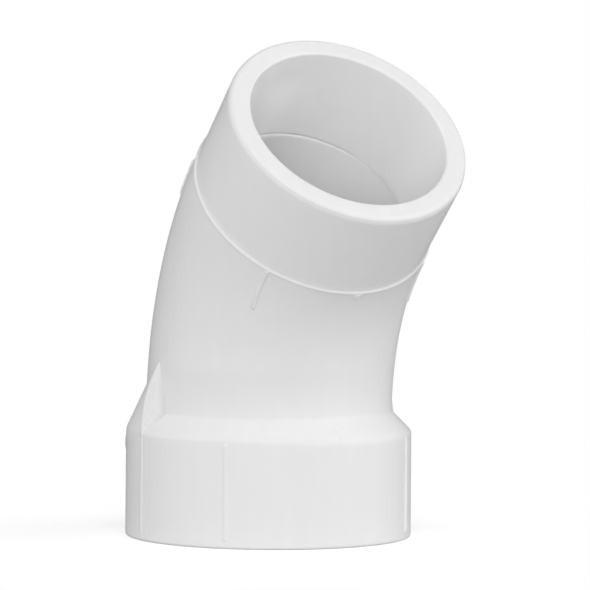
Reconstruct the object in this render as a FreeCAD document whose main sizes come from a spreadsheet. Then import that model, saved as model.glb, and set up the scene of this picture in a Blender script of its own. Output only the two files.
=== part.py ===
import FreeCAD, Part
import os
import math
import Sketcher

# 45 degree street elbow for 1-1/2 in solvent-weld pipe: hub (socket) by spigot.
#
# Frame: origin at the centre of the hub mouth, +Z up the hub axis, the bend
# leans towards +X and the part is symmetric about the plane Y = 0.
# Lengths in millimetres, angles in degrees.

doc = FreeCAD.newDocument("street_elbow")
Vector = FreeCAD.Vector
Placement = FreeCAD.Placement
Rotation = FreeCAD.Rotation

# ---------------------------------------------------------------- dimensions
# alias, value, meaning
DIMENSIONS = [
    # hub collar
    ("hub_radius", 28.15, "outside of the hub wall"),
    ("corner_height", 20.90, "where the hub wall turns into the 45 degree shoulder"),
    ("shoulder_run", 4.80, "radial run of the shoulder cone (buried end included)"),
    ("heel_base", 21.00, "start of the long shoulder on the heel side"),
    ("heel_top", 30.86, "end of the long shoulder (buried in the tube)"),
    ("heel_inner", 23.60, "radius of that buried end"),
    ("heel_overlap", 2.00, "depth of the heel profile into the hub wall"),
    ("socket_radius", 24.20, "socket wall, mean of the standard taper"),
    ("socket_depth", 17.50, "pipe stop below the mouth"),
    ("seat_angle", 20.0, "sweep of the curved seat cut for the bend"),
    ("mouth_round", 0.60, "outer edge of the mouth"),
    ("corner_round", 1.40, "rounding at the top of the hub wall"),
    ("rib_height", 0.18, "index rib above the hub wall"),
    ("rib_root", 0.50, "index rib sunk into the hub wall"),
    ("rib_angle", 2.80, "index rib width as an angle"),
    ("rib_low", 1.80, "lower end of the index ribs"),
    ("rib_high", 19.80, "upper end of the index ribs"),
    # bend
    ("tube_radius", 24.20, "outside of the bend"),
    ("bore_radius", 19.50, "waterway in the bend"),
    ("bend_start", 23.90, "height where the bend begins"),
    ("nose_radius", 22.40, "straight nose of the bend, set in the collar to the pipe stop"),
    ("bend_radius", 59.90, "centreline radius"),
    ("bend_angle", 45.0, "angle between hub and spigot"),
    ("bend_lead", 0.75, "straight between the bend and the middle of the bead"),
    ("tick_height", 0.40, "index tick above the bend"),
    ("tick_root", 0.40, "index tick sunk into the bend"),
    ("tick_width", 0.90, "index tick width at its root"),
    ("tick_taper", 0.75, "width of the tick's crest as a share of its root"),
    ("tick_length", 10.0, "index tick length along the outside"),
    # bead, lap and spigot
    ("bead_width", 0.60, "width of the raised ring"),
    ("bead_radius", 24.58, "crest of the raised ring"),
    ("bead_round", 0.15, "rounding of the crest's edges"),
    ("lap_radius", 22.00, "radius of the lap between spigot and bend"),
    ("spigot_radius", 24.13, "outside of the spigot, 48.26 mm pipe size"),
    ("spigot_bore", 19.75, "bore radius of the spigot"),
    ("spigot_length", 20.00, "middle of the bead to the rim"),
    ("seam_depth", 21.70, "rim to the inner seam"),
    ("rim_round", 1.00, "outer edge of the rim"),
    ("rim_inner_round", 0.35, "inner edge of the rim"),
    # side fins
    ("fin_thickness", 1.40, "web thickness"),
    ("fin_radius", 29.60, "radius of the curved outer edge"),
    ("fin_base", 19.90, "lower end of the fin"),
    ("fin_proud", 0.15, "fin foot above the hub wall"),
    ("fin_inner", 22.80, "buried inner side of the fin blank"),
]
RIB_GROUPS = (("near", -135.0), ("far", 45.0))  # name, angle of the first rib from +X
RIBS_PER_GROUP = 3
RIB_SPREAD = 90.0  # first rib of a group to its last
TICK_ANGLES = (45.0, 130.0, -130.0, -45.0)  # around the tube, 0 on its bend-centre side
MIN_CHANGE = 1e-3  # least volume, mm3, that counts as material

# Lengths used by more than one sketch, as expressions
COLLAR_TOP = "dims.corner_height + dims.shoulder_run"
NOSE_LENGTH = "dims.bend_start - dims.socket_depth"
STUB_LENGTH = "dims.bend_lead - 0.5*dims.bead_width"
BEND_END_Z = "0.5*dims.bead_width - dims.bend_lead"  # in the tube's own frame
FIN_FOOT = "dims.hub_radius + dims.fin_proud"

sheet = doc.addObject("Spreadsheet::Sheet", "dims")
size = {}
for row, (alias, number, note) in enumerate(DIMENSIONS, 1):
    sheet.set("A%d" % row, alias)
    sheet.set("B%d" % row, str(number))
    sheet.set("C%d" % row, note)
    sheet.setAlias("B%d" % row, alias)
    size[alias] = number
doc.recompute()


def value_of(expr):
    """Value of a sum of products such as 'dims.tube_radius - 0.5*dims.bead_width'."""
    total = 0.0
    sign = 1.0
    for token in expr.split():
        if token in ("+", "-"):
            sign = 1.0 if token == "+" else -1.0
            continue
        product = sign
        for factor in token.split("*"):
            if factor.startswith("dims."):
                product *= size[factor[len("dims."):]]
            else:
                product *= float(factor)
        total += product
    return total


# ---------------------------------------------------------------- sketches
def new_sketch(body, name, role, offset=None, height=None):
    """Sketch on an origin plane, moved by a placement or raised by an expression."""
    sketch = body.newObject("Sketcher::SketchObject", name)
    plane = next(o for o in body.Origin.OriginFeatures if o.Role == role)
    sketch.AttachmentSupport = [(plane, "")]
    sketch.MapMode = "FlatFace"
    if offset is not None:
        sketch.AttachmentOffset = offset
    if height is not None:
        sketch.AttachmentOffset = Placement(Vector(0, 0, value_of(height)), Rotation())
        sketch.setExpression("AttachmentOffset.Base.z", height)
    return sketch


def constrain(sketch, kind, *values):
    return sketch.addConstraint(Sketcher.Constraint(kind, *values))


def drive(sketch, name, expr, kind, *ends):
    """Named dimension driven by an expression."""
    index = constrain(sketch, kind, *ends, value_of(expr))
    sketch.renameConstraint(index, name)
    sketch.setExpression("Constraints." + name, expr)


def pin_point(sketch, line, name, expr_x, expr_y):
    """Fix the start of a line at (x, y) from the sketch origin."""
    # A zero distance is held by the origin's own axis: -2 vertical, -1 horizontal.
    for suffix, expr, kind, axis in (("_x", expr_x, "DistanceX", -2),
                                     ("_y", expr_y, "DistanceY", -1)):
        if expr == "0":
            constrain(sketch, "PointOnObject", line, 1, axis)
        else:
            drive(sketch, name + suffix, expr, kind, -1, 1, line, 1)


def closed_loop(sketch, points):
    count = len(points)
    for i in range(count):
        sketch.addGeometry(Part.LineSegment(points[i], points[(i + 1) % count]), False)
    for i in range(count):
        constrain(sketch, "Coincident", i, 2, (i + 1) % count, 1)


def polygon(sketch, corners):
    """Closed polygon; corners are pairs of expressions."""
    closed_loop(sketch, [Vector(value_of(x), value_of(y), 0) for x, y in corners])
    for i, (x, y) in enumerate(corners):
        pin_point(sketch, i, "corner%d" % i, x, y)


def circle(sketch, alias):
    """Circle about the sketch origin with a radius from the sheet."""
    curve = Part.Circle(Vector(0, 0, 0), Vector(0, 0, 1), size[alias])
    index = sketch.addGeometry(curve, False)
    constrain(sketch, "Coincident", index, 3, -1, 1)
    drive(sketch, alias, "dims." + alias, "Radius", index)


def bend_axis(sketch):
    """Construction line through the bend centre, parallel to the sketch's vertical axis."""
    x = size["bend_radius"]
    length = 5.0  # any length gives the axis
    line = sketch.addGeometry(Part.LineSegment(Vector(x, 0, 0), Vector(x, length, 0)), True)
    pin_point(sketch, line, "axis", "dims.bend_radius", "0")
    constrain(sketch, "Vertical", line)
    constrain(sketch, "DistanceY", line, 1, line, 2, length)


# ---------------------------------------------------------------- features
def finish(body, feature, adds, is_right=None):
    """Recompute, turn the feature round if is_right says so, and see that it did work."""
    body.Tip = feature
    doc.recompute()
    # The default direction depends on the sketch normal, so it is tested on the shape.
    if is_right and not is_right(feature.Shape):
        feature.Reversed = True
        doc.recompute()
        if not is_right(feature.Shape):
            raise RuntimeError("%s points the wrong way" % feature.Name)
    base = feature.BaseFeature
    if base:
        change = feature.Shape.Volume - base.Shape.Volume
        if (change if adds else -change) <= MIN_CHANGE:
            raise RuntimeError("%s changed nothing" % feature.Name)
    return feature


def extrude(body, kind, sketch, name, length, reverse=False, midplane=False, is_right=None):
    """Pad or Pocket with its length from an expression."""
    doc.recompute()
    feature = body.newObject("PartDesign::" + kind, name)
    feature.Profile = sketch
    feature.Type = "Length"
    feature.Length = value_of(length)
    feature.setExpression("Length", length)
    feature.Reversed = reverse
    if midplane:
        # The property's name depends on the FreeCAD release.
        if hasattr(feature, "SideType"):
            feature.SideType = "Symmetric"
        else:
            feature.Midplane = True
    return finish(body, feature, kind == "Pad", is_right)


def turn(body, kind, sketch, name, axis="V_Axis", angle=360.0, reverse=False,
         midplane=False, is_right=None):
    """Revolution or Groove; the angle is a number or an expression."""
    doc.recompute()
    feature = body.newObject("PartDesign::" + kind, name)
    feature.Profile = sketch
    feature.ReferenceAxis = (sketch, [axis])
    if isinstance(angle, str):
        feature.Angle = value_of(angle)
        feature.setExpression("Angle", angle)
    else:
        feature.Angle = angle
    feature.Reversed = reverse
    if midplane:
        feature.Midplane = True
    return finish(body, feature, kind == "Revolution", is_right)


def round_ring(body, name, alias, ring_radius, height=None):
    """Fillet the circular edges of the tip that have this radius and, if given, height."""
    base = body.Tip
    edges = []
    for i, edge in enumerate(base.Shape.Edges, 1):
        curve = edge.Curve
        if isinstance(curve, Part.Circle) and abs(curve.Radius - ring_radius) < 0.02:
            if height is None or abs(curve.Center.z - height) < 0.01:
                edges.append("Edge%d" % i)
    fillet = body.newObject("PartDesign::Fillet", name)
    fillet.Base = (base, edges)
    fillet.Radius = size[alias]
    fillet.setExpression("Radius", "dims." + alias)
    return finish(body, fillet, adds=False)


def past_bend(distance):
    """Placement on the spigot axis, Z outwards, at a distance beyond the end of the bend."""
    angle = math.radians(size["bend_angle"])
    radius = size["bend_radius"]
    end = Vector(radius * (1 - math.cos(angle)), 0,
                 size["bend_start"] + radius * math.sin(angle))
    bend_end = Placement(end, Rotation(Vector(0, 1, 0), size["bend_angle"]))
    return bend_end.multiply(Placement(Vector(0, 0, distance), Rotation()))


# ---------------------------------------------------------------- hub collar
def add_ribs(collar):
    """Index ribs: three on the -Y side and three on the +Y side, 45 degrees apart."""
    for group, first_angle in RIB_GROUPS:
        offset = Placement(Vector(0, 0, 0), Rotation(Vector(0, 1, 0), first_angle))
        sketch = new_sketch(collar, "rib_profile_" + group, "XZ_Plane", offset)
        polygon(sketch, [
            ("dims.hub_radius - dims.rib_root", "dims.rib_low"),
            ("dims.hub_radius + dims.rib_height", "dims.rib_low"),
            ("dims.hub_radius + dims.rib_height", "dims.rib_high"),
            ("dims.hub_radius - dims.rib_root", "dims.rib_high"),
        ])
        rib = turn(collar, "Revolution", sketch, "rib_" + group,
                   angle="dims.rib_angle", midplane=True)
        pattern = collar.newObject("PartDesign::PolarPattern", "ribs_" + group)
        pattern.Originals = [rib]
        pattern.Axis = (sketch, ["V_Axis"])
        pattern.Angle = RIB_SPREAD
        pattern.Occurrences = RIBS_PER_GROUP
        finish(collar, pattern, adds=True)


def make_collar():
    collar = doc.addObject("PartDesign::Body", "hub_collar")

    # hub wall and 45 degree shoulder, one turned profile
    sketch = new_sketch(collar, "collar_profile", "XZ_Plane")
    polygon(sketch, [
        ("0", "0"),
        ("dims.hub_radius", "0"),
        ("dims.hub_radius", "dims.corner_height"),
        ("dims.hub_radius - dims.shoulder_run", COLLAR_TOP),
        ("0", COLLAR_TOP),
    ])
    turn(collar, "Revolution", sketch, "collar_turned")

    # longer, steeper shoulder on the heel half (-X, the side away from the bend)
    sketch = new_sketch(collar, "heel_profile", "YZ_Plane")
    polygon(sketch, [
        ("dims.heel_inner", "dims.heel_base - dims.heel_overlap"),
        ("dims.hub_radius", "dims.heel_base - dims.heel_overlap"),
        ("dims.hub_radius", "dims.heel_base"),
        ("dims.heel_inner", "dims.heel_top"),
    ])
    in_heel = Vector(-(size["heel_inner"] + 0.3), 0, size["heel_top"] - 1.5)
    turn(collar, "Revolution", sketch, "heel_turned", angle=180.0,
         is_right=lambda shape: shape.isInside(in_heel, 1e-4, True))
    round_ring(collar, "collar_corner", "corner_round", size["hub_radius"],
               size["corner_height"])

    add_ribs(collar)

    # seat for the bend: a plain bore for its nose above the pipe stop,
    # then the bend's own curve
    sketch = new_sketch(collar, "seat_circle", "XY_Plane", height="dims.bend_start")
    circle(sketch, "nose_radius")
    extrude(collar, "Pocket", sketch, "seat_bore", NOSE_LENGTH)

    sketch = new_sketch(collar, "seat_bend_circle", "XY_Plane", height="dims.bend_start")
    circle(sketch, "tube_radius")
    bend_axis(sketch)
    in_seat = Vector(1.0, 0, size["bend_start"] + 1.5)
    turn(collar, "Groove", sketch, "seat_bend", axis="Axis0", angle="dims.seat_angle",
         is_right=lambda shape: not shape.isInside(in_seat, 1e-4, True))

    sketch = new_sketch(collar, "socket_circle", "XY_Plane")
    circle(sketch, "socket_radius")
    extrude(collar, "Pocket", sketch, "socket", "dims.socket_depth", reverse=True)
    round_ring(collar, "mouth_edge", "mouth_round", size["hub_radius"], 0.0)
    return collar


# ---------------------------------------------------------------- bend tube
def add_ticks(tube, reverse):
    """Four index ticks that follow the bend back from its spigot end."""
    root_radius = size["tube_radius"] - size["tick_root"]
    crest_radius = size["tube_radius"] + size["tick_height"]
    half_root = 0.5 * size["tick_width"]
    half_crest = half_root * size["tick_taper"]
    profile = (  # radius, offset across the tick
        (root_radius, -half_root), (crest_radius, -half_crest),
        (crest_radius, half_crest), (root_radius, half_root),
    )
    for number, degrees in enumerate(TICK_ANGLES, 1):
        cosine = math.cos(math.radians(degrees))
        sine = math.sin(math.radians(degrees))
        corners = [Vector(radius * cosine - across * sine, radius * sine + across * cosine, 0)
                   for radius, across in profile]
        sketch = new_sketch(tube, "tick_profile_%d" % number, "XY_Plane", height=BEND_END_Z)
        closed_loop(sketch, corners)
        for i, corner in enumerate(corners):
            constrain(sketch, "DistanceX", -1, 1, i, 1, corner.x)
            constrain(sketch, "DistanceY", -1, 1, i, 1, corner.y)
        bend_axis(sketch)
        path_radius = size["bend_radius"] - size["tube_radius"] * cosine
        turn(tube, "Revolution", sketch, "tick_%d" % number, axis="Axis0",
             angle=math.degrees(size["tick_length"] / path_radius), reverse=reverse)


def make_tube():
    """Drawn in the frame of its spigot end: local Z points out of that end,
    the bend centre lies on local +X."""
    tube = doc.addObject("PartDesign::Body", "bend_tube")
    end_placement = past_bend(value_of(STUB_LENGTH))

    sketch = new_sketch(tube, "stub_ring", "XY_Plane")
    circle(sketch, "tube_radius")
    circle(sketch, "bore_radius")
    extrude(tube, "Pad", sketch, "stub", STUB_LENGTH, reverse=True)

    sketch = new_sketch(tube, "bend_ring", "XY_Plane", height=BEND_END_Z)
    circle(sketch, "tube_radius")
    circle(sketch, "bore_radius")
    bend_axis(sketch)
    # the right way is back from the end, so nothing stands far above it
    bend = turn(tube, "Revolution", sketch, "bend", axis="Axis0", angle="dims.bend_angle",
                is_right=lambda shape: shape.BoundBox.ZMax <= 5)

    # straight nose down to the pipe stop, in the hub's direction
    bend_start = Placement(Vector(0, 0, size["bend_start"]), Rotation())
    sketch = new_sketch(tube, "nose_ring", "XY_Plane",
                        end_placement.inverse().multiply(bend_start))
    circle(sketch, "nose_radius")
    circle(sketch, "bore_radius")
    nose = extrude(tube, "Pad", sketch, "nose", NOSE_LENGTH, reverse=True)

    # counterbore that takes the spigot's nose
    sketch = new_sketch(tube, "lap_circle", "XY_Plane")
    circle(sketch, "lap_radius")
    solid_volume = nose.Shape.Volume
    extrude(tube, "Pocket", sketch, "lap",
            "dims.seam_depth - dims.spigot_length - 0.5*dims.bead_width",
            is_right=lambda shape: shape.Volume < solid_volume - MIN_CHANGE)

    add_ticks(tube, bend.Reversed)
    tube.Placement = end_placement
    return tube


# ---------------------------------------------------------------- stop bead
def make_bead():
    """Raised ring, local Z = 0 at the middle of its width."""
    bead = doc.addObject("PartDesign::Body", "stop_bead")
    sketch = new_sketch(bead, "bead_profile", "XZ_Plane")
    polygon(sketch, [
        ("dims.lap_radius", "-0.5*dims.bead_width"),
        ("dims.tube_radius", "-0.5*dims.bead_width"),
        ("dims.bead_radius", "-0.2*dims.bead_width"),
        ("dims.bead_radius", "0.2*dims.bead_width"),
        ("dims.spigot_radius", "0.5*dims.bead_width"),
        ("dims.lap_radius", "0.5*dims.bead_width"),
    ])
    turn(bead, "Revolution", sketch, "bead_turned")
    round_ring(bead, "bead_crest", "bead_round", size["bead_radius"])
    bead.Placement = past_bend(size["bend_lead"])
    return bead


# ---------------------------------------------------------------- spigot tube
def make_spigot():
    """Local Z = 0 is the end of its nose, at the seam in the bore."""
    spigot = doc.addObject("PartDesign::Body", "spigot_tube")
    shoulder = "dims.seam_depth - dims.spigot_length + 0.5*dims.bead_width"
    sketch = new_sketch(spigot, "spigot_profile", "XZ_Plane")
    polygon(sketch, [
        ("dims.spigot_bore", "0"),
        ("dims.lap_radius", "0"),
        ("dims.lap_radius", shoulder),
        ("dims.spigot_radius", shoulder),
        ("dims.spigot_radius", "dims.seam_depth"),
        ("dims.spigot_bore", "dims.seam_depth"),
    ])
    turn(spigot, "Revolution", sketch, "spigot_turned")
    rim_height = size["seam_depth"]
    round_ring(spigot, "rim_outer", "rim_round", size["spigot_radius"], rim_height)
    round_ring(spigot, "rim_inner", "rim_inner_round", size["spigot_bore"], rim_height)
    spigot.Placement = past_bend(
        size["bend_lead"] + size["spigot_length"] - size["seam_depth"])
    return spigot


# ---------------------------------------------------------------- side fins
def make_fin(label, side, collar, tube):
    """Thin web in the plane X = 0 with a curved outer edge, trimmed to sit on the
    shoulder and on the bend. Side is +1 for +Y and -1 for -Y."""
    blank = doc.addObject("PartDesign::Body", label + "_blank")
    sketch = new_sketch(blank, label + "_outline", "YZ_Plane")
    foot_y = value_of(FIN_FOOT)
    foot_z = size["fin_base"]
    inner_y = size["fin_inner"]
    radius = size["fin_radius"]
    centre_y = foot_y - radius
    top_angle = math.acos((inner_y - centre_y) / radius)
    top_z = foot_z + radius * math.sin(top_angle)
    inner = Vector(side * inner_y, foot_z, 0)
    foot = Vector(side * foot_y, foot_z, 0)
    top = Vector(side * inner_y, top_z, 0)

    # The arc runs anticlockwise: from foot to top on the +Y side, top to foot on -Y.
    if side > 0:
        start_angle, end_angle = 0.0, top_angle
        foot_end, top_end = 1, 2
    else:
        start_angle, end_angle = math.pi - top_angle, math.pi
        foot_end, top_end = 2, 1
    ring = Part.Circle(Vector(side * centre_y, foot_z, 0), Vector(0, 0, 1), radius)
    sketch.addGeometry(Part.LineSegment(inner, foot), False)
    sketch.addGeometry(Part.ArcOfCircle(ring, start_angle, end_angle), False)
    sketch.addGeometry(Part.LineSegment(top, inner), False)
    constrain(sketch, "Coincident", 0, 2, 1, foot_end)
    constrain(sketch, "Coincident", 1, top_end, 2, 1)
    constrain(sketch, "Coincident", 2, 2, 0, 1)
    constrain(sketch, "Horizontal", 0)
    constrain(sketch, "Vertical", 2)
    drive(sketch, "foot_height", "dims.fin_base", "DistanceY", -1, 1, 0, 1)
    for name, expr, end in (("inner", "dims.fin_inner", 1), ("foot", FIN_FOOT, 2)):
        ends = (-1, 1, 0, end) if side > 0 else (0, end, -1, 1)
        drive(sketch, name, expr, "DistanceX", *ends)
    drive(sketch, "edge_radius", "dims.fin_radius", "Radius", 1)
    # the arc leaves the foot upright: its centre is level with the foot
    constrain(sketch, "DistanceY", 1, 3, 0, 2, 0.0)
    extrude(blank, "Pad", sketch, label + "_web", "dims.fin_thickness", midplane=True)

    seat = doc.addObject("Part::MultiFuse", label + "_seat")
    seat.Shapes = [collar, tube]
    fin = doc.addObject("Part::Cut", label + "_cut")
    fin.Base = blank
    fin.Tool = seat
    fin.Label = label
    return fin


# ---------------------------------------------------------------- build, check and write
hub_collar = make_collar()
bend_tube = make_tube()
parts = [
    hub_collar,
    bend_tube,
    make_bead(),
    make_spigot(),
    make_fin("side_fin_left", -1.0, hub_collar, bend_tube),
    make_fin("side_fin_right", 1.0, hub_collar, bend_tube),
]
doc.recompute()

for item in doc.Objects:
    if "Invalid" in item.State or "Error" in item.State:
        raise RuntimeError("failed object: %s %s" % (item.Name, item.State))
for part in parts:
    if part.Shape.isNull() or not part.Shape.isValid():
        raise RuntimeError("bad shape: " + part.Label)
    if len(part.Shape.Solids) != 1:
        raise RuntimeError("%s has %d solids" % (part.Label, len(part.Shape.Solids)))
for i, part in enumerate(parts):
    for other in parts[i + 1:]:
        if part.Shape.common(other.Shape).Volume > MIN_CHANGE:
            raise RuntimeError("%s overlaps %s" % (part.Label, other.Label))

os.makedirs("parts", exist_ok=True)
for part in parts:
    part.Shape.exportStep("parts/%s.step" % part.Label)
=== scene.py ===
# A white plastic 45 degree pipe elbow standing on its hub: a socket collar at the foot, a bent
# tube, a low stop bead and a straight spigot, with a thin web on each side.
# The hub's axis is +Z with its open face on z = 0, and the bend leans towards +X in the plane
# y = 0. The throat (inside of the bend) is the +X side and the heel is the -X side.
# Angles round the part start at the throat and grow towards +Y. Lengths are in millimetres up
# to the meshes; materials, lights and camera are in metres.
from math import cos, exp, pi, radians, sin

import bmesh
import bpy
import numpy as np
from mathutils import Matrix, Vector


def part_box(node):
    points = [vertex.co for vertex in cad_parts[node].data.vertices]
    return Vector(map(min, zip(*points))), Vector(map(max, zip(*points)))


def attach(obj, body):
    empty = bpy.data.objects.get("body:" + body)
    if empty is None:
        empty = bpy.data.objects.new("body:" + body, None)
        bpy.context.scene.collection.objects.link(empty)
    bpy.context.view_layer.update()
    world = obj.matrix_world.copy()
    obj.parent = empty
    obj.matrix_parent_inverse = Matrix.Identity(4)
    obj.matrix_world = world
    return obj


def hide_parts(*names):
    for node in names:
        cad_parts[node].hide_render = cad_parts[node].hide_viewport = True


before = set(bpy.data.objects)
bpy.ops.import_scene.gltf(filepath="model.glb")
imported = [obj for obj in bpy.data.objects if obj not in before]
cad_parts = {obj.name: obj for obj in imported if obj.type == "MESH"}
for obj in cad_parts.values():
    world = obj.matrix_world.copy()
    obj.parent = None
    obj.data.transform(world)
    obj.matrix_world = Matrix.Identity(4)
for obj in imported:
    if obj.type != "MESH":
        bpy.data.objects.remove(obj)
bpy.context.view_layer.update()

# ------------------------------------------------------------------ driving sizes, mm
MM = 0.001
HUB_R = 28.15
HUB_DRAFT = 0.0024           # radius lost per mm of height
DRAFT_Z = 10.0               # height where the hub measures HUB_R
THROAT_CORNER_Z = 20.90      # where the 45 degree shoulder starts on the throat side
HEEL_CORNER_Z = 21.00        # where the steeper shoulder starts on the heel side
HEEL_SLOPE = 0.4614
SOCKET_R = 24.20
SOCKET_TAPER = 0.22
SOCKET_DEPTH = 17.50         # height of the pipe stop
TUBE_R = 24.20
BORE_R = 19.50

# Distances named _S run along the centreline from z = 0.
BEND_START_Z = 23.90
BEND_R = 59.90
BEND_ANGLE = radians(45.0)
BEND_ARC = BEND_R * BEND_ANGLE
BEAD_S = BEND_START_Z + BEND_ARC + 0.75

BEAD_HALF = 0.30             # from the middle of the bead to its spigot side
BEAD_LOW = 0.62              # from the middle of the bead to its bend side
SPIGOT_R = 24.13
SPIGOT_LEN = 20.00           # from the middle of the bead to the rim
SPIGOT_BORE_R = 19.84        # at the rim
SPIGOT_BORE_TAPER = 0.22
SEAM_DEPTH = 21.70           # from the rim to the seam with the bend's bore
SEAM_S = BEAD_S + SPIGOT_LEN - SEAM_DEPTH
LAP_R = 22.00                # where the spigot's nose lies inside the bend

low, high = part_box("hub_collar")
assert abs(high.y * 1000 - HUB_R) < 0.5 and abs(low.z) < 1e-4, "hub size differs from the CAD"
low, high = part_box("spigot_tube")
assert abs((high.y - low.y) * 500 - SPIGOT_R) < 0.1, "spigot size differs from the CAD"
low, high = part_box("bend_tube")
assert abs(low.z * 1000 - SOCKET_DEPTH) < 0.05, "pipe stop differs from the CAD"


# ------------------------------------------------------------------ shaping functions
def smoothstep(start, end, value):
    t = np.clip((np.asarray(value, float) - start) / (end - start), 0.0, 1.0)
    return t * t * (3 - 2 * t)


def soft_min(a, b, blend):
    overlap = np.maximum(blend - np.abs(a - b), 0.0) / blend
    return np.minimum(a, b) - overlap * overlap * blend * 0.25


def soft_max(a, b, blend):
    return -soft_min(-a, -b, blend)


def wrap(angle):
    """The angle brought into -pi to pi."""
    return (np.asarray(angle) + pi) % (2 * pi) - pi


def arc_points(x, y, radius, start, end, count):
    """Points on an arc, angles in degrees, ends included."""
    return [(x + radius * cos(a), y + radius * sin(a))
            for a in np.radians(np.linspace(start, end, count))]


def centreline(s):
    """Point, tangent and throat-side normal at distances s."""
    s = np.asarray(s, float)
    a = np.clip((s - BEND_START_Z) / BEND_R, 0.0, BEND_ANGLE)
    before = np.minimum(s, BEND_START_Z)
    beyond = np.maximum(s - BEND_START_Z - BEND_ARC, 0.0)
    point = np.stack([BEND_R * (1 - np.cos(a)) + beyond * np.sin(a), 0 * s,
                      before + BEND_R * np.sin(a) + beyond * np.cos(a)], -1)
    tangent = np.stack([np.sin(a), 0 * s, np.cos(a)], -1)
    normal = np.stack([np.cos(a), 0 * s, -np.sin(a)], -1)
    return point, tangent, normal


def tube_surface(z, angle, tube_r):
    """Distance from the hub's axis to the outside of a bend of radius tube_r, by Newton steps."""
    z, angle = np.broadcast_arrays(np.asarray(z, float), np.asarray(angle, float))
    distance = np.full(z.shape, tube_r)
    rise = np.maximum(z - BEND_START_Z, 0.0)
    for _ in range(30):
        x = BEND_R - distance * np.cos(angle)
        reach = np.sqrt(x * x + rise * rise)
        error = (reach - BEND_R) ** 2 + (distance * np.sin(angle)) ** 2 - tube_r * tube_r
        slope = (2 * (reach - BEND_R) * (x / reach) * (-np.cos(angle))
                 + 2 * distance * np.sin(angle) ** 2)
        distance = distance - error / np.where(np.abs(slope) < 1e-6, 1e-6, slope)
    return distance


def throat_cone(z):
    return HUB_R - (z - THROAT_CORNER_Z)


def heel_cone(z):
    return HUB_R - HEEL_SLOPE * (z - HEEL_CORNER_Z)


# ------------------------------------------------------------------ mesh functions
def mesh_object(name, verts, faces):
    """Object from vertices in metres."""
    mesh = bpy.data.meshes.new(name)
    mesh.from_pydata(verts, [], faces)
    mesh.update()
    obj = bpy.data.objects.new(name, mesh)
    bpy.context.scene.collection.objects.link(obj)
    return obj


def shade_smooth(mesh):
    for face in mesh.polygons:
        face.use_smooth = True
    mesh.update()


def ring_mesh(name, points, **marks):
    """Closed ring of quads: points[i, j], with i round the section and j round the axis.

    Each of marks is a value per point that the materials read by name: bore is 1 on the
    waterway, the deep mark is 1 on the waterway below the seam and paints shade there, and the glow
    mark is the strength of emission that paints light into the waterway.
    """
    verts = points.reshape(-1, 3) * MM
    index = np.arange(len(verts)).reshape(points.shape[:2])
    next_row = np.roll(index, -1, 0)
    faces = np.stack([index, np.roll(index, -1, 1), np.roll(next_row, -1, 1), next_row], -1)
    faces = faces.reshape(-1, 4)
    obj = mesh_object(name, verts.tolist(), faces.tolist())
    mesh = obj.data
    mesh.validate()
    # outward normals: the signed volume must be positive
    tri = verts[np.concatenate([faces[:, [0, 1, 2]], faces[:, [0, 2, 3]]])]
    volume = np.einsum("ij,ij->i", tri[:, 0], np.cross(tri[:, 1], tri[:, 2])).sum() / 6
    if volume < 0:
        mesh.flip_normals()
    for mark, values in marks.items():
        attribute = mesh.attributes.new(mark, "FLOAT", "POINT")
        attribute.data.foreach_set("value", np.ascontiguousarray(values, dtype=np.float32).ravel())
    shade_smooth(mesh)
    return obj


def section_grid(section, angles, shape=None):
    """Radius, distance along and angle of a closed (r, s) section repeated at each angle.
    shape(r, s, angle) may change the radii."""
    r, s = (np.repeat(column[:, None], len(angles), 1) for column in np.array(section, float).T)
    angle = np.repeat(angles[None, :], len(section), 0)
    if shape is not None:
        r = shape(r, s, angle)
    return r, s, angle


def around(point, normal, r, angle):
    """Points at radius r and angle round a centreline point."""
    side = np.array([0.0, 1.0, 0.0])
    return point + r[..., None] * (np.cos(angle)[..., None] * normal
                                   + np.sin(angle)[..., None] * side)


def bore_mark(r):
    return 1.0 - smoothstep(20.0, 20.2, r)


def bent_ring(name, section, angles, shape):
    """Section swept along the bent centreline."""
    r, s, angle = section_grid(section, angles, shape)
    point, _, normal = centreline(s)
    bore = bore_mark(r)
    # painted light: a faint even glow over the waterway; painted shade: the same waterway is marked
    # to be darkened
    return ring_mesh(name, around(point, normal, r, angle), bore=bore, deep=bore, glow=0.008 * bore)


def straight_ring(name, section, angles, shape=None):
    """Section swept along the spigot's straight axis, s measured from the middle of the bead."""
    r, s, angle = section_grid(section, angles, shape)
    origin, tangent, normal = centreline(np.array(BEAD_S))
    points = around(origin + s[..., None] * tangent, normal, r, angle)
    # painted light: glowing patches brighten the bore, on the +Y flank and beside the heel well
    # below the rim
    painted_flank_glow = 0.056 * np.exp(-(wrap(angle - radians(85.0)) / radians(22.0)) ** 2)
    heel = (0.078 * np.exp(-(wrap(angle + radians(168.0)) / radians(15.0)) ** 2)
            * (1 - smoothstep(9.0, 15.0, s)))
    bore = bore_mark(r)
    return ring_mesh(name, points, bore=bore, glow=bore * (0.003 + painted_flank_glow + heel))


# ------------------------------------------------------------------ relief
# hub ribs: angle in degrees, height, half width
RIBS = (
    (-134.6, 0.18, 0.66), (-89.0, 0.16, 0.62), (-44.6, 0.30, 0.64),
    (45.1, 0.30, 0.64), (89.0, 0.16, 0.62), (134.6, 0.18, 0.66),
)
# bars on the bend: angle in degrees, start and end below the bead along the centreline
TICKS = ((-127.6, 3.4, 11.0), (-42.6, 0.0, 14.4), (48.3, 0.0, 15.2), (130.0, 3.4, 11.0))
TICK_HEIGHT = 0.40


def even_steps(step, count):
    """Offsets in radians, count steps of step degrees to each side."""
    return [radians(step * k) for k in range(-count, count + 1)]


def mirrored(*degrees):
    return [radians(sign * offset) for sign in (-1, 1) for offset in degrees]


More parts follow.
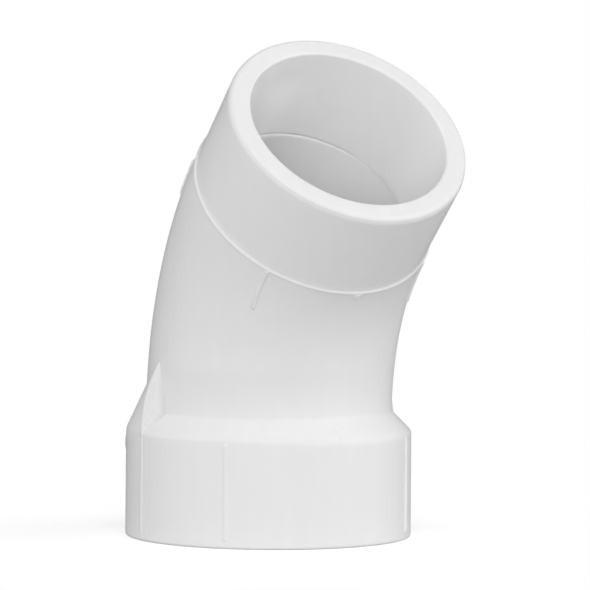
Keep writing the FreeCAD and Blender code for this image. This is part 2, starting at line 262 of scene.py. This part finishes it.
def ring_angles(features):
    """360 even angles, plus extra ones at the offsets from each feature's centre."""
    values = list(np.linspace(-pi, pi, 360, endpoint=False))
    for centre, offsets in features:
        values += [float(wrap(centre + offset)) for offset in offsets]
    values = np.unique(np.round(np.sort(np.array(values)), 6))
    kept = [values[0]]
    for value in values[1:]:
        if value - kept[-1] > radians(0.035):
            kept.append(value)
    return np.array(kept)


LINE_OFFSETS = mirrored(0.1, 0.25, 0.4, 0.6, 0.8, 1.2)
FLANK_OFFSETS = mirrored(0.0, 0.6, 1.2, 1.6, 2.1, 2.4, 2.8)
LINES = [(0.0, LINE_OFFSETS), (pi, LINE_OFFSETS)]

HUB_ANGLES = ring_angles(
    [(radians(rib[0]), even_steps(0.14, 14)) for rib in RIBS]
    + [(radians(3.1), even_steps(0.14, 18)), (pi, LINE_OFFSETS),
       (radians(90), FLANK_OFFSETS), (radians(-90), FLANK_OFFSETS)])
BEND_ANGLES = ring_angles([(radians(tick[0]), even_steps(0.12, 14)) for tick in TICKS] + LINES)
PLAIN_ANGLES = ring_angles(LINES)


def raised_line(angle, radius, height):
    """Fine raised line along the throat and the heel, in the plane of the bend."""
    half = 0.12
    across = np.minimum(np.abs(wrap(angle)) * radius, np.abs(wrap(angle - pi)) * radius)
    return height * (1 - smoothstep(half * 0.4, half * 2.6, across))


# ------------------------------------------------------------------ hub collar
def collar_form(z, angle):
    """Outside of the collar alone, before the bend is blended in."""
    wall = HUB_R - HUB_DRAFT * (z - DRAFT_Z)
    # the throat-side corner is softest round 10 degrees
    corner = 0.55 + 0.75 * np.exp(-(wrap(angle - radians(10.0)) / radians(36.0)) ** 4)
    throat = soft_min(wall, throat_cone(z), corner)
    heel = soft_min(wall, heel_cone(z), 0.40)
    # the two shoulders change over in a narrow step on each flank
    throat_share = smoothstep(-radians(1.1), radians(1.1), np.cos(angle))
    return heel * (1 - throat_share) + throat * throat_share


def rib_relief(z, angle):
    """Low half-round beads with rounded ends."""
    length = smoothstep(1.25, 1.95, z) * (1 - smoothstep(19.6, 20.5, z))
    relief = 0.0
    for degrees, height, half in RIBS:
        across = wrap(angle - radians(degrees)) * HUB_R
        relief = relief + height * np.cos(np.clip(across / half, -1, 1) * pi / 2) ** 1.3 * length
    return relief


def pad_relief(z, angle):
    """Small raised pads, one on each side towards the heel."""
    relief = 0.0
    for centre in (radians(-118), radians(118)):
        across = wrap(angle - centre) * HUB_R
        relief = relief + 0.17 * np.exp(-((z - 18.2) / 1.25) ** 4 - (across / 0.8) ** 2)
    return relief


def slant_groove(z, angle):
    """Depth of a short slanting groove on the throat-side shoulder."""
    lean = radians(1.42) * np.maximum(z - 20.9, 0.0)
    across = wrap(angle - radians(1.7) - lean) * HUB_R
    length = smoothstep(20.2, 20.9, z) * (1 - smoothstep(22.7, 23.4, z))
    return 0.20 * np.exp(-(across / 0.26) ** 2) * length


def make_collar():
    mouth_round = 0.60
    socket_round = 0.40
    top_z = 33.21
    z_outside = np.concatenate([
        [0.60, 0.9, 1.3, 1.6, 1.75, 1.9, 2.1, 2.4],
        np.linspace(3.0, 18.6, 24),
        np.linspace(18.9, 26.0, 66),
        np.linspace(26.2, 32.6, 34),
        [32.9, 33.2, top_z],
    ])
    z_inside = np.concatenate([[top_z, 33.0], np.linspace(32.0, 18.2, 12), [17.8, SOCKET_DEPTH]])
    z_socket = np.concatenate([
        [SOCKET_DEPTH - 0.001, 17.45, 17.3], np.linspace(16.5, 1.2, 16), [0.6]])
    angle = HUB_ANGLES

    # rows of (radius or radii, z), from the outer edge of the open face upwards
    mouth_r = HUB_R + HUB_DRAFT * DRAFT_Z
    rows = arc_points(mouth_r - mouth_round, mouth_round, mouth_round, 270, 360, 9)[:-1]
    for z in z_outside:
        form = soft_max(collar_form(z, angle), tube_surface(z, angle, TUBE_R), 0.20) + 0.006
        relief = rib_relief(z, angle) + pad_relief(z, angle) - slant_groove(z, angle)
        rows.append((form + relief, z))
    # down inside the bend tube's wall, across the pipe stop and down the tapered socket
    rows += [(tube_surface(z, angle, TUBE_R - 0.35), z) for z in z_inside]
    rows += [(SOCKET_R - 0.10 + SOCKET_TAPER * (1 - z / SOCKET_DEPTH), z) for z in z_socket]
    rows += arc_points(SOCKET_R + 0.12 + socket_round, socket_round, socket_round, 180, 270, 7)
    rows += [(r, 0.0) for r in (25.3, 26.2, 27.1)]

    radius = np.array([np.broadcast_to(r, angle.shape) for r, z in rows])
    height = np.array([z for r, z in rows])[:, None] + 0 * radius
    points = np.stack([radius * np.cos(angle), radius * np.sin(angle), height], -1)
    return ring_mesh("hub_collar_moulded", points)


# ------------------------------------------------------------------ bend tube
def bend_relief(s, angle):
    """Height added to the outside of the bend."""
    below = BEAD_S - s
    relief = np.zeros_like(s)
    for degrees, start, end in TICKS:
        across = wrap(angle - radians(degrees)) * TUBE_R
        length = smoothstep(start, start + 0.6, below) * (1 - smoothstep(end - 0.9, end, below))
        relief += TICK_HEIGHT * (1.0 - smoothstep(0.22, 0.60, np.abs(across))) * length
    relief += raised_line(angle, TUBE_R, 0.006) * smoothstep(41.0, 44.0, s)
    # nib against the bead: a bump, its wider foot and a short tail; distances along the throat
    across = wrap(angle - radians(1.8)) * TUBE_R
    below = below * (BEND_R - TUBE_R) / BEND_R
    relief += 0.42 * np.exp(-((across / 0.42) ** 2 + ((below - 1.00) / 0.42) ** 2))
    relief += 0.30 * np.exp(-((across / 0.70) ** 2 + ((below - 0.35) / 0.45) ** 2))
    relief += (0.07 * np.exp(-(across / 0.30) ** 2)
               * smoothstep(0.6, 1.4, below) * (1 - smoothstep(2.4, 3.4, below)))
    # the outside closes up very slightly towards the bead
    relief += -0.05 * smoothstep(BEAD_S - 3.5, BEAD_S, s)
    relief += 0.03 * smoothstep(BEAD_S - 3.0, BEAD_S - BEAD_LOW, s)
    # and shrinks a little under the collar
    relief += -0.04 * (1 - smoothstep(24.0, 27.0, s))
    return relief


def bore_shift(r, s, angle):
    """Change of radius where the bore runs slightly out of line towards the seam."""
    near_seam = np.exp(-((SEAM_S - s) / 9.0).clip(0.0) ** 1.5)
    inside = (r < 20.6) & (s > SOCKET_DEPTH + 3.0)
    offset = np.maximum(-0.10 + 0.62 * np.cos(angle - radians(223)), -0.26)
    return np.where(inside, near_seam * (0.12 - offset), 0.0)


def make_bend():
    end_s = BEAD_S - BEAD_LOW
    lip_s = SEAM_S - 0.02
    lap_r = LAP_R + 0.03
    stop_round = 0.5
    foot = [(TUBE_R - 0.30, SOCKET_DEPTH), (TUBE_R - 0.05, SOCKET_DEPTH + 0.25)]
    wall = [(TUBE_R, s) for s in np.concatenate([
        np.linspace(18.5, 24.0, 8),
        np.linspace(24.8, BEAD_S - 16.0, 42),
        np.linspace(BEAD_S - 15.7, BEAD_S - 9.8, 24),
        np.linspace(BEAD_S - 9.5, BEAD_S - 3.0, 22),
        np.linspace(BEAD_S - 2.8, end_s - 0.12, 16),
        [end_s - 0.02, end_s],
    ])]
    end = [(23.6, end_s), (22.8, end_s), (lap_r, end_s), (lap_r, end_s - 0.6), (lap_r, lip_s)]
    lip = [(r, lip_s) for r in (21.0, 20.7, 20.3, 20.0, 19.75)]
    lip += [(BORE_R + 0.12, SEAM_S - 0.03), (BORE_R + 0.06, SEAM_S - 0.10), (BORE_R, SEAM_S - 0.22)]
    bore = [(BORE_R, s) for s in np.linspace(SEAM_S - 0.6, SOCKET_DEPTH + 0.8, 84)]
    stop = arc_points(BORE_R + stop_round, SOCKET_DEPTH + stop_round, stop_round, 180, 270, 7)
    stop += [(r, SOCKET_DEPTH) for r in (21.0, 22.2, 23.3)]
    outside = slice(len(foot), len(foot) + len(wall))

    def shape(r, s, angle):
        r = r.copy()
        r[outside] += bend_relief(s[outside], angle[outside])
        return r + bore_shift(r, s, angle)

    return bent_ring("bend_tube_moulded", foot + wall + end + lip + bore + stop, BEND_ANGLES, shape)


# ------------------------------------------------------------------ stop bead
def make_bead():
    """Low ridge: steep on the bend side, sloping away to the spigot."""
    bottom = -BEAD_LOW
    top = BEAD_HALF
    section = [(r, bottom) for r in (LAP_R + 0.02, 23.0, 23.7, 24.10)]
    section.append((24.20, bottom + 0.005))
    for t in np.linspace(0.0, 1.0, 21):
        s = bottom + 0.02 + (BEAD_LOW + top - 0.04) * t
        crest = 24.38 - 0.17 * exp(-(t / 0.14) ** 1.5)
        fall = smoothstep(0.15, 1.05, t) / smoothstep(0.15, 1.05, 1.0)
        section.append((crest * (1 - fall) + 24.05 * fall, s))
    section += [(23.98, top - 0.005), (23.7, top), (23.0, top), (LAP_R + 0.02, top)]
    return straight_ring("stop_bead_moulded", section, PLAIN_ANGLES)


# ------------------------------------------------------------------ spigot tube
def make_spigot():
    start = BEAD_HALF
    rim = SPIGOT_LEN
    seam = SPIGOT_LEN - SEAM_DEPTH
    edge_r, edge_s = 1.15, 1.55          # the rim's outer edge is a quarter ellipse
    inner_round = 0.50
    seam_round = 0.03
    bead_side = [(LAP_R, start), (22.9, start), (23.5, start), (23.92, start + 0.01)]
    wall = [(SPIGOT_R, s) for s in np.concatenate([
        np.linspace(start + 0.05, start + 1.2, 11),
        np.linspace(start + 1.8, rim - 2.1, 26),
        np.linspace(rim - 1.95, rim - 1.66, 4),
    ])]
    edge = [(SPIGOT_R - edge_r + edge_r * cos(a), rim - edge_s + edge_s * sin(a))
            for a in np.linspace(0, pi / 2, 19)]
    face = [(r, rim) for r in np.linspace(SPIGOT_R - 1.5, 20.75, 8)]
    inner_edge = arc_points(
        SPIGOT_BORE_R + inner_round, rim - inner_round, inner_round, 90, 180, 11)
    bore = [(SPIGOT_BORE_R - SPIGOT_BORE_TAPER * (rim - s) / SEAM_DEPTH, s)
            for s in np.linspace(rim - 0.8, seam + 0.25, 40)]
    seam_edge = arc_points(SPIGOT_BORE_R - SPIGOT_BORE_TAPER + seam_round, seam + seam_round,
                           seam_round, 180, 270, 4)
    nose = [(20.6, seam), (LAP_R - 0.05, seam), (LAP_R, seam + 0.1), (LAP_R, seam + 1.1)]
    section = bead_side + wall + edge + face + inner_edge + bore + seam_edge + nose
    # the wall and the first eight points of the edge
    outside = slice(len(bead_side), len(bead_side) + len(wall) + 8)

    def shape(r, s, angle):
        r = r.copy()
        along = s[outside]
        flare = 0.11 * (1 - smoothstep(start - 0.1, start + 0.75, along))
        line = (raised_line(angle[outside], SPIGOT_R, 0.010)
                * (1 - smoothstep(rim - 2.4, rim - 1.4, along)))
        r[outside] += flare + line - 0.05 - 0.0075 * (rim - along)
        return r

    return straight_ring("spigot_tube_moulded", section, PLAIN_ANGLES, shape)


# ------------------------------------------------------------------ side fins
# height, distance of the outer edge from the hub's axis
FIN_EDGE = (
    (19.7, 28.10), (20.4, 28.20), (21.4, 28.20), (22.4, 28.16), (23.6, 28.02),
    (25.3, 27.78), (26.8, 27.50), (28.3, 27.14), (29.5, 26.76), (30.4, 26.40),
    (31.85, 25.80), (33.1, 25.18), (34.4, 24.50), (35.3, 24.02),
)
FIN_FOOT_Z = 19.75
FIN_TOP_Z = 35.05
FIN_TAPER = 0.34             # half thickness gained per mm inwards from the edge
FIN_EDGE_ROUND = 0.32
FIN_ROOT_ROUND = 1.9
FIN_SIDE_STEPS, FIN_ROUND_STEPS, FIN_ROOT_STEPS = 9, 8, 11


def fin_face(surface, bottom, top, half):
    """(x, y) points up one face of the web, from inside the body to the middle of its edge."""
    root = min(FIN_ROOT_ROUND, max(0.05, (top - surface) * 0.7))
    face_y = min(surface + root, top)
    wide = half + FIN_TAPER * (top - face_y)
    points = [(wide + root, bottom + (min(surface, top) - 0.12 - bottom) * k / 3.0)
              for k in range(4)]
    # concave quarter round from the surface into the web's face
    for k in range(1, FIN_ROOT_STEPS + 1):
        a = pi / 2 * k / FIN_ROOT_STEPS
        y = surface - 0.10 + (root + 0.10) * (1 - cos(a))
        points.append((wide + root - root * sin(a), min(y, top)))
    for k in range(1, FIN_SIDE_STEPS + 1):
        t = k / FIN_SIDE_STEPS
        points.append((wide + (half - wide) * t, face_y + (top - face_y) * t))
    for k in range(1, FIN_ROUND_STEPS + 1):
        a = pi / 2 * k / FIN_ROUND_STEPS
        points.append((half - FIN_EDGE_ROUND + FIN_EDGE_ROUND * cos(a),
                       top + FIN_EDGE_ROUND * sin(a)))
    return points


def fin_loop(z):
    """Closed (x, y) outline of the web at height z: throat-side face out, heel-side face back."""
    edge = float(np.interp(z, *zip(*FIN_EDGE)))
    edge -= 0.10 * (1 - float(smoothstep(FIN_FOOT_Z, 21.2, z)))
    # thinner upwards, and thicker where the foot fades into the hub wall
    half = 0.46 - 0.06 * float(smoothstep(24.0, 35.0, z))
    half += 0.25 * (1 - float(smoothstep(FIN_FOOT_Z, 21.6, z)))
    tube = float(tube_surface(z, radians(90.0), TUBE_R))
    throat = float(soft_max(soft_min(HUB_R, throat_cone(z), 0.55), tube, 0.2))
    heel = float(soft_max(soft_min(HUB_R, heel_cone(z), 0.4), tube, 0.2))
    bottom = min(tube, edge) - 0.6
    top = edge - FIN_EDGE_ROUND
    heel_face = [(-x, y) for x, y in fin_face(heel, bottom, top, half)]
    return fin_face(throat, bottom, top, half) + heel_face[::-1]


def make_fin(name, side):
    """Web in the plane x = 0, on the +Y side for side 1 and the -Y side for side -1."""
    levels = np.unique(np.round(np.concatenate([
        np.linspace(FIN_FOOT_Z, 22.4, 22),
        np.linspace(22.5, 33.6, 90),
        np.linspace(33.7, FIN_TOP_Z, 16),
    ]), 4))
    loops = np.array([[(x, side * y, z) for x, y in fin_loop(z)] for z in levels])
    rows, count = loops.shape[:2]
    faces = []
    for i in range(rows - 1):
        for j in range(count):
            k = (j + 1) % count
            faces.append((i * count + j, i * count + k, (i + 1) * count + k, (i + 1) * count + j))
    # each end is closed by strips between the facing halves of the loop
    for i, flip in ((0, True), (rows - 1, False)):
        base = i * count
        for j in range(count // 2 - 1):
            face = (base + j, base + j + 1, base + count - 2 - j, base + count - 1 - j)
            faces.append(face[::-1] if flip else face)
    obj = mesh_object(name, (loops.reshape(-1, 3) * MM).tolist(), faces)
    bm = bmesh.new()
    bm.from_mesh(obj.data)
    # where the web is low some points of a level fall together
    bmesh.ops.remove_doubles(bm, verts=bm.verts, dist=6e-6)
    bmesh.ops.recalc_face_normals(bm, faces=bm.faces)
    bm.to_mesh(obj.data)
    bm.free()
    shade_smooth(obj.data)
    return obj


# the CAD node each piece stands in for
parts = {
    "hub_collar": make_collar(),
    "bend_tube": make_bend(),
    "stop_bead": make_bead(),
    "spigot_tube": make_spigot(),
    "side_fin_left": make_fin("side_fin_left_moulded", -1.0),
    "side_fin_right": make_fin("side_fin_right_moulded", 1.0),
}


# ------------------------------------------------------------------ shader nodes
def grey(value):
    return (value, value, value, 1)


class Shader:
    """Fills an emptied node tree. Any input may be given as a value or as a socket to link."""

    def __init__(self, owner):
        owner.use_nodes = True
        self.tree = owner.node_tree
        self.tree.nodes.clear()

    def add(self, kind, inputs, **settings):
        node = self.tree.nodes.new("ShaderNode" + kind)
        for key, value in settings.items():
            setattr(node, key, value)
        for key, value in inputs.items():
            if isinstance(value, bpy.types.NodeSocket):
                self.tree.links.new(value, node.inputs[key])
            else:
                node.inputs[key].default_value = value
        return node

    def map_range(self, value, source, target=(0.0, 1.0), kind="LINEAR"):
        """Maps the source range (min, max) to the target range."""
        return self.add("MapRange", {
            "Value": value, "From Min": source[0], "From Max": source[1],
            "To Min": target[0], "To Max": target[1]}, interpolation_type=kind).outputs["Result"]

    def math(self, operation, *operands):
        return self.add("Math", dict(enumerate(operands)), operation=operation).outputs[0]

    def mix_colour(self, factor, first, second, blend="MIX"):
        inputs = {0: factor, 6: first, 7: second}
        return self.add("Mix", inputs, data_type="RGBA", blend_type=blend).outputs[2]

    def mix_shader(self, factor, first, second):
        return self.add("MixShader", {0: factor, 1: first, 2: second}).outputs[0]

    def add_shader(self, first, second):
        return self.add("AddShader", {0: first, 1: second}).outputs[0]

    def attribute(self, name):
        return self.add("Attribute", {}, attribute_name=name).outputs["Fac"]

    def noise(self, vector, scale, detail, roughness=0.5):
        return self.add("TexNoise", {"Vector": vector, "Scale": scale, "Detail": detail,
                                     "Roughness": roughness}).outputs["Fac"]

    def bump(self, height, **inputs):
        return self.add("Bump", {"Height": height, **inputs}).outputs["Normal"]

    def diffuse(self, value):
        return self.add("BsdfDiffuse", {"Color": grey(value)}).outputs[0]

    def emission(self, strength):
        return self.add("Emission", {"Strength": strength}).outputs[0]

    def camera_ray(self):
        return self.add("LightPath", {}).outputs["Is Camera Ray"]


# ------------------------------------------------------------------ plastic
def pvc_colour(shader, vector, edge, tone):
    """Base colour; edge is the mask of exposed corners."""
    # slow variation between two whites
    slow = shader.map_range(shader.noise(vector, scale=28.0, detail=3.0, roughness=0.55),
                            source=(0.32, 0.68))
    colour = shader.mix_colour(
        slow, (0.893 * tone, 0.893 * tone, 0.891 * tone, 1),
        (0.918 * tone, 0.918 * tone, 0.917 * tone, 1))
    # faint streaks, drawn out along z
    stretched = shader.add("Mapping", {"Vector": vector, "Scale": (1.0, 1.0, 0.12)})
    streak = shader.noise(stretched.outputs["Vector"], scale=420.0, detail=2.0, roughness=0.6)
    streak = shader.map_range(streak, source=(0.3, 0.7), target=(0.985, 1.0))
    streak = shader.add("CombineColor", {0: streak, 1: streak, 2: streak}).outputs[0]
    colour = shader.mix_colour(1.0, colour, streak, "MULTIPLY")
    # a few specks: cell centres, kept only where a second noise is high
    cells = shader.add("TexVoronoi", {"Vector": vector, "Scale": 120.0}).outputs["Distance"]
    near = shader.map_range(cells, source=(0.0, 0.045), target=(1.0, 0.0))
    rare = shader.map_range(shader.noise(vector, scale=120.0, detail=0.0), source=(0.66, 0.70))
    specks = shader.math("MULTIPLY", near, rare)
    colour = shader.mix_colour(specks, colour, (0.82, 0.818, 0.81, 1))
    colour = shader.mix_colour(edge, colour, (0.925, 0.925, 0.924, 1))
    # painted shade: outside the bore, the plastic seen edge-on is painted a little darker
    facing = shader.add("LayerWeight", {"Blend": 0.5}).outputs["Facing"]
    painted_edge_shade = shader.map_range(facing, source=(0.76, 0.97), target=(0.0, 0.22), kind="SMOOTHSTEP")
    outside = shader.map_range(shader.attribute("bore"), source=(0.0, 1.0), target=(1.0, 0.0))
    colour = shader.mix_colour(shader.math("MULTIPLY", painted_edge_shade, outside), colour, grey(0.30))
    # painted shade: the waterway below the seam is painted slightly darker
    return shader.mix_colour(shader.attribute("deep"), colour, grey(0.986), "MULTIPLY")


def pvc_roughness(shader, vector, edge):
    """Satin, broken by fine mottling, broad rubbed patches and duller corners."""
    mottle = shader.map_range(shader.noise(vector, scale=900.0, detail=3.0, roughness=0.6),
                              source=(0.3, 0.7), target=(0.50, 0.58))
    rubbed = shader.map_range(shader.noise(vector, scale=60.0, detail=5.0, roughness=0.7),
                              source=(0.45, 0.75), target=(0.0, 0.12))
    edge_gain = 0.08
    return shader.math("MULTIPLY_ADD", edge, edge_gain, shader.math("ADD", mottle, rubbed))


def pvc_normal(shader, vector):
    """Relief too fine to model: a fine grain over shallow waves."""
    grain = shader.noise(vector, scale=520.0, detail=4.0, roughness=0.55)
    waves = shader.noise(vector, scale=70.0, detail=2.0)
    fine = shader.bump(grain, Strength=0.10, Distance=0.0001)
    return shader.bump(waves, Strength=0.22, Distance=0.0004, Normal=fine)


def pvc(name, tone=1.0, wear=1.0):
    """White plastic. tone scales its whiteness and is lowered to paint shade onto the webs; wear
    scales the paler edges.
    """
    material = bpy.data.materials.new(name)
    shader = Shader(material)
    coordinates = shader.add("TexCoord", {}).outputs["Object"]
    vector = shader.add("Mapping", {
        "Vector": coordinates, "Location": (0.31, 0.1147, 0.2201)}).outputs["Vector"]
    pointiness = shader.add("NewGeometry", {}).outputs["Pointiness"]
    edge = shader.map_range(pointiness, source=(0.515, 0.60), target=(0.0, wear))
    surface = shader.add("BsdfPrincipled", {
        "Base Color": pvc_colour(shader, vector, edge, tone),
        "Roughness": pvc_roughness(shader, vector, edge),
        "IOR": 1.53,
        "Specular IOR Level": 0.40,
        "Subsurface Weight": 0.12,
        "Subsurface Radius": (1.0, 1.0, 0.95),
        "Subsurface Scale": 0.0012,
        # painted light: the glow mark sets an emission that brightens the waterway
        "Emission Color": (1.0, 1.0, 0.998, 1),
        "Emission Strength": shader.attribute("glow"),
        "Normal": pvc_normal(shader, vector),
    })
    shader.add("OutputMaterial", {"Surface": surface.outputs["BSDF"]})
    return material


body_pvc = pvc("white_pvc")
# the collar's uneven mesh columns upset the edge mask, so it has no pale edges
hub_pvc = pvc("white_pvc_hub", wear=0.0)
# painted shade: the webs are painted a darker white
shaded_web_pvc = pvc("white_pvc_web_painted_shade", tone=0.90, wear=0.0)
special_pvc = {"hub_collar": hub_pvc, "side_fin_left": shaded_web_pvc, "side_fin_right": shaded_web_pvc}

for node_name, part in parts.items():
    part.data.materials.append(special_pvc.get(node_name, body_pvc))
    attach(part, "root")
    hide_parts(node_name)
for cad_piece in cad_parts.values():
    cad_piece.data.materials.clear()
    cad_piece.data.materials.append(body_pvc)

# ------------------------------------------------------------------ floor
scene = bpy.context.scene


def floor_material():
    """Pale sweep: what the camera sees and what lights the part are set apart."""
    material = bpy.data.materials.new("pale_floor")
    shader = Shader(material)
    coordinates = shader.add("TexCoord", {}).outputs["Object"]
    distance = shader.add("VectorMath", {0: coordinates}, operation="LENGTH").outputs["Value"]
    # seen: shaded near the part, running out to plain white
    near = shader.add_shader(shader.diffuse(0.9), shader.emission(0.42))
    far = shader.map_range(distance, source=(0.030, 0.090), kind="SMOOTHSTEP")
    seen = shader.mix_shader(far, near, shader.emission(1.0))
    # lighting: a grey floor with a glowing ring round the foot of the part
    fade = shader.map_range(distance, source=(0.0300, 0.0400), target=(0.11, 0.0),
                            kind="SMOOTHSTEP")
    ring_inner_radius = 0.0268
    ring = shader.math("MULTIPLY", fade, shader.math("GREATER_THAN", distance, ring_inner_radius))
    lighting = shader.add_shader(shader.diffuse(0.45), shader.emission(ring))
    shader.add("OutputMaterial", {
        "Surface": shader.mix_shader(shader.camera_ray(), lighting, seen)})
    return material


def make_floor():
    """Flat disc of growing rings, 6 m in radius."""
    spokes = 48
    radii = np.geomspace(0.05, 6.0, 20)
    verts = [(0, 0, 0)]
    for r in radii:
        for k in range(spokes):
            verts.append((r * cos(2 * pi * k / spokes), r * sin(2 * pi * k / spokes), 0))
    faces = [(0, 1 + k, 1 + (k + 1) % spokes) for k in range(spokes)]
    for i in range(len(radii) - 1):
        for k in range(spokes):
            a = 1 + i * spokes + k
            b = 1 + i * spokes + (k + 1) % spokes
            faces.append((a, a + spokes, b + spokes, b))
    obj = mesh_object("floor", verts, faces)
    obj.data.materials.append(floor_material())
    return obj


make_floor()

# ------------------------------------------------------------------ world
# white to the camera, dim as a light
world = bpy.data.worlds.new("studio")
scene.world = world
sky = Shader(world)
dim, bright = (
    sky.add("Background", {"Color": grey(1), "Strength": strength}).outputs[0]
    for strength in (0.17, 1.0))
sky.add("OutputWorld", {"Surface": sky.mix_shader(sky.camera_ray(), dim, bright)})

# ------------------------------------------------------------------ lights
# the camera's own axes
CAMERA_RIGHT = Vector((0.46747, 0.883971, 0.008178))
CAMERA_UP = Vector((-0.051265, 0.017872, 0.998525))
CAMERA_BACK = Vector((0.882521, -0.4672, 0.053671))

# a tent of large soft boxes one metre out, named as seen by the camera; front is its own side
LIGHT_AIM = Vector((0.012, 0.0, 0.045))
BOX_SIZE = 0.7
front = Vector((CAMERA_BACK.x, CAMERA_BACK.y, 0.0)).normalized()
right = Vector((CAMERA_RIGHT.x, CAMERA_RIGHT.y, 0.0)).normalized()
zenith = Vector((0.0, 0.0, 1.0))
# name, direction from the aim point, power in watts
SOFT_BOXES = (
    ("front", front + zenith * 0.15, 6.77),
    ("front_left", front * 0.75 - right * 0.75 + zenith * 0.3, 0.86),
    ("front_right", front * 0.75 + right * 0.75 + zenith * 0.3, 0.57),
    ("left", -right + zenith * 0.3, 1.32),
    ("right", right + zenith * 0.3, 3.74),
    ("back_left", -front * 0.45 - right * 0.90 + zenith * 0.25, 0.28),
    ("back_right", -front * 0.45 + right * 0.90 + zenith * 0.25, 0.18),
    ("top", zenith + front * 0.05, 1.26),
    ("top_left", zenith * 0.8 - right * 0.8, 1.22),
    ("top_right", zenith * 0.8 + right * 0.8, 0.68),
)
for box_name, direction, power in SOFT_BOXES:
    light = bpy.data.lights.new("box_" + box_name, "AREA")
    light.shape = "RECTANGLE"
    light.size = BOX_SIZE
    light.size_y = BOX_SIZE
    light.energy = power
    box = bpy.data.objects.new("box_" + box_name, light)
    box.location = LIGHT_AIM + direction.normalized()
    box.rotation_euler = (box.location - LIGHT_AIM).to_track_quat("Z", "Y").to_euler()
    box.visible_camera = False
    scene.collection.objects.link(box)

# ------------------------------------------------------------------ camera
lens = bpy.data.cameras.new("camera")
lens.sensor_fit = "HORIZONTAL"
lens.sensor_width = 36.0
lens.lens = 272.42
lens.shift_x = -0.00084745763
lens.shift_y = 0.00084745763
lens.clip_start = 0.01
lens.clip_end = 20.0
camera = bpy.data.objects.new("camera", lens)
pose = Matrix((CAMERA_RIGHT, CAMERA_UP, CAMERA_BACK)).transposed().to_4x4()
pose.translation = Vector((0.778766, -0.406546, 0.094574))
camera.matrix_world = pose
scene.collection.objects.link(camera)
scene.camera = camera

scene.view_settings.view_transform = "Standard"
scene.view_settings.look = "None"
scene.view_settings.exposure = 0.0
scene.view_settings.gamma = 1.0

bpy.context.view_layer.update()
